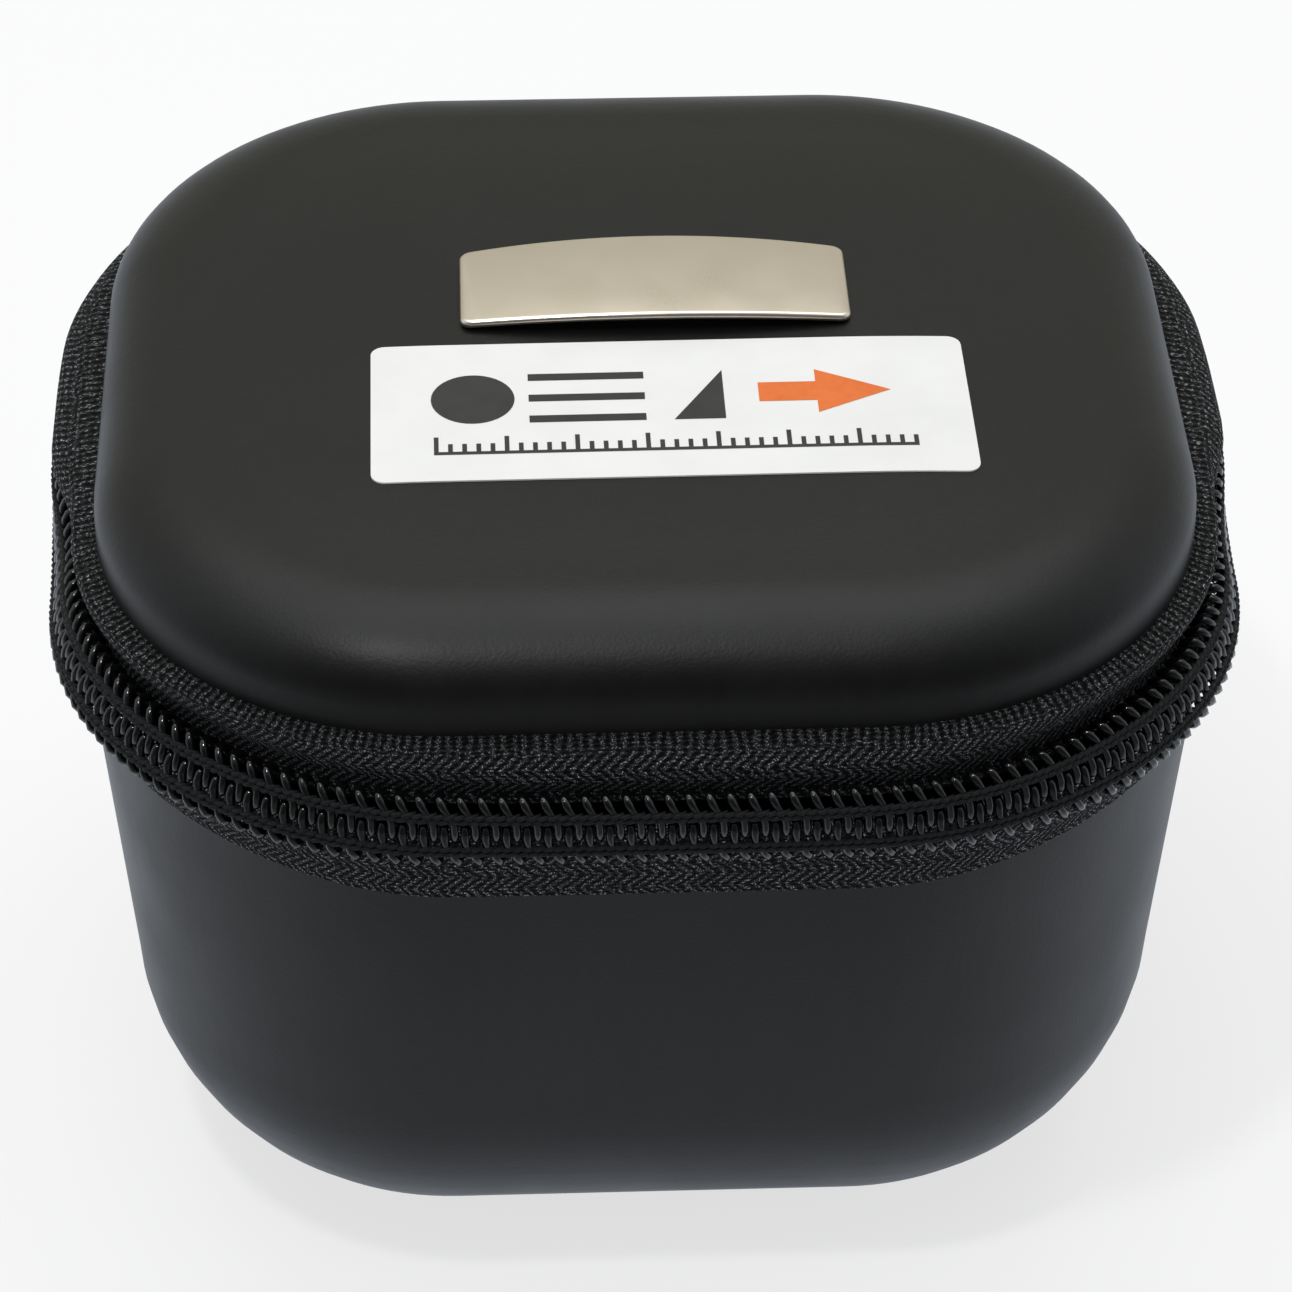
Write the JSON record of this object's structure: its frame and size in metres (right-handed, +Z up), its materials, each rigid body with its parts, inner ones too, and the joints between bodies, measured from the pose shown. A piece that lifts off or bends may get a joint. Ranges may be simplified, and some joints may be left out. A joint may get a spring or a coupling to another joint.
{
  "type": "fibre cleaver in a zip case",
  "caption": "Small optical fibre cleaver nested in foam inside a round-cornered moulded zip case with a cloth hinge.",
  "frame": {"origin": "middle of the case's footprint on the surface that it stands on", "axes": "+X to the right of someone facing the front of the case, +Y towards the cloth hinge at the back, +Z up"},
  "size_m": [0.105, 0.0988, 0.0789],
  "materials": {
    "case_skin": "moulded foam sheet with a smooth satin black skin",
    "brushed_lining": "brushed black knit bonded to the foam",
    "woven_tape": "black herringbone polyester tape",
    "hinge_cloth": "black woven cloth",
    "nylon_coil": "glossy black nylon",
    "enamelled_zinc": "black enamelled zinc casting",
    "nickel_plate": "warm satin nickel",
    "label_film": "white printed film",
    "grey_foam": "closed-cell charcoal foam",
    "anodised_body": "black anodised casting",
    "anodised_arm": "satin anodised",
    "steel": "ground steel",
    "carbide": "lapped tungsten carbide",
    "clamp_rubber": "black rubber",
    "blue_knob": "moulded polymer",
    "black_carriage": "hard anodised",
    "anvil_resin": "acetal",
    "bin_resin": "moulded polymer"
  },
  "bodies": {
    "case_base": {"base_shell": "case_skin", "base_lining": "brushed_lining", "base_tape": "woven_tape", "cloth_hinge": "hinge_cloth", "base_coil": "nylon_coil", "base_coil_corner": "nylon_coil", "foam_floor": "grey_foam", "foam_insert": "grey_foam", "cleaver_body": "anodised_body", "bottom_plate": "anodised_body", "guide_plate": "anodised_arm", "bottom_screws": "steel", "carriage_rails": "steel", "lower_clamps": "steel", "arm_pin": "steel", "guide_pin": "steel", "bin_pin": "steel", "foot_pad": "clamp_rubber", "lower_pads": "clamp_rubber", "scrap_bin": "bin_resin"},
    "case_lid": {"lid_shell": "case_skin", "lid_lining": "brushed_lining", "lid_tape": "woven_tape", "lid_tape_corner": "woven_tape", "lid_coil": "nylon_coil", "lid_coil_corner": "nylon_coil", "badge": "nickel_plate", "lid_label": "label_film"},
    "slider": {"zip_slider": "enamelled_zinc", "slider_bail": "enamelled_zinc"},
    "pull": {"pull_tab": "enamelled_zinc"},
    "arm": {"cover_arm": "anodised_arm", "thumb_grip": "clamp_rubber", "upper_clamps": "steel", "upper_pads": "clamp_rubber", "anvil": "anvil_resin"},
    "carriage": {"blade_carriage": "black_carriage", "carriage_knob": "blue_knob", "blade_screw": "steel"},
    "blade": {"blade_wheel": "carbide"},
    "flap": {"guide_flap": "blue_knob"},
    "bin_cover": {"bin_lid": "bin_resin"},
    "roller": {"feed_roller": "clamp_rubber"}
  },
  "joints": [
    {"name": "lid_hinge", "type": "hinge", "parent": "case_base", "child": "case_lid", "pos_m": [0, 0.04905, 0.0605], "axis": [-1, 0, 0], "range_deg": [0, 180], "deforming": ["cloth_hinge", "lid_tape_corner"]},
    {"name": "slider_run", "type": "hinge", "parent": "case_base", "child": "slider", "pos_m": [0.01765, 0.0145, 0.0605], "axis": [0, 0, -1], "range_deg": [0, 56], "deforming": ["lid_coil_corner", "base_coil_corner"]},
    {"name": "pull_swing", "type": "hinge", "parent": "slider", "child": "pull", "pos_m": [0.03912, 0.04634, 0.0605], "axis": [0.829, -0.5592, 0], "range_deg": [0, 150]},
    {"name": "arm_lift", "type": "hinge", "parent": "case_base", "child": "arm", "pos_m": [0, 0.021, 0.0405], "axis": [-1, 0, 0], "range_deg": [0, 35]},
    {"name": "carriage_slide", "type": "slide", "parent": "case_base", "child": "carriage", "axis": [0, 1, 0], "range_m": [0, 0.014]},
    {"name": "blade_index", "type": "hinge", "parent": "carriage", "child": "blade", "pos_m": [0, -0.0146, 0.03], "axis": [1, 0, 0], "continuous": true},
    {"name": "flap_hinge", "type": "hinge", "parent": "case_base", "child": "flap", "pos_m": [0.025, 0.0078, 0.0386], "axis": [-1, 0, 0], "range_deg": [0, 110]},
    {"name": "bin_lid_hinge", "type": "hinge", "parent": "case_base", "child": "bin_cover", "pos_m": [-0.0292, 0, 0.0369], "axis": [0, -1, 0], "range_deg": [0, 85]},
    {"name": "roller_turn", "type": "hinge", "parent": "case_base", "child": "roller", "pos_m": [-0.0235, 0, 0.0345], "axis": [0, 1, 0], "continuous": true}
  ]
}
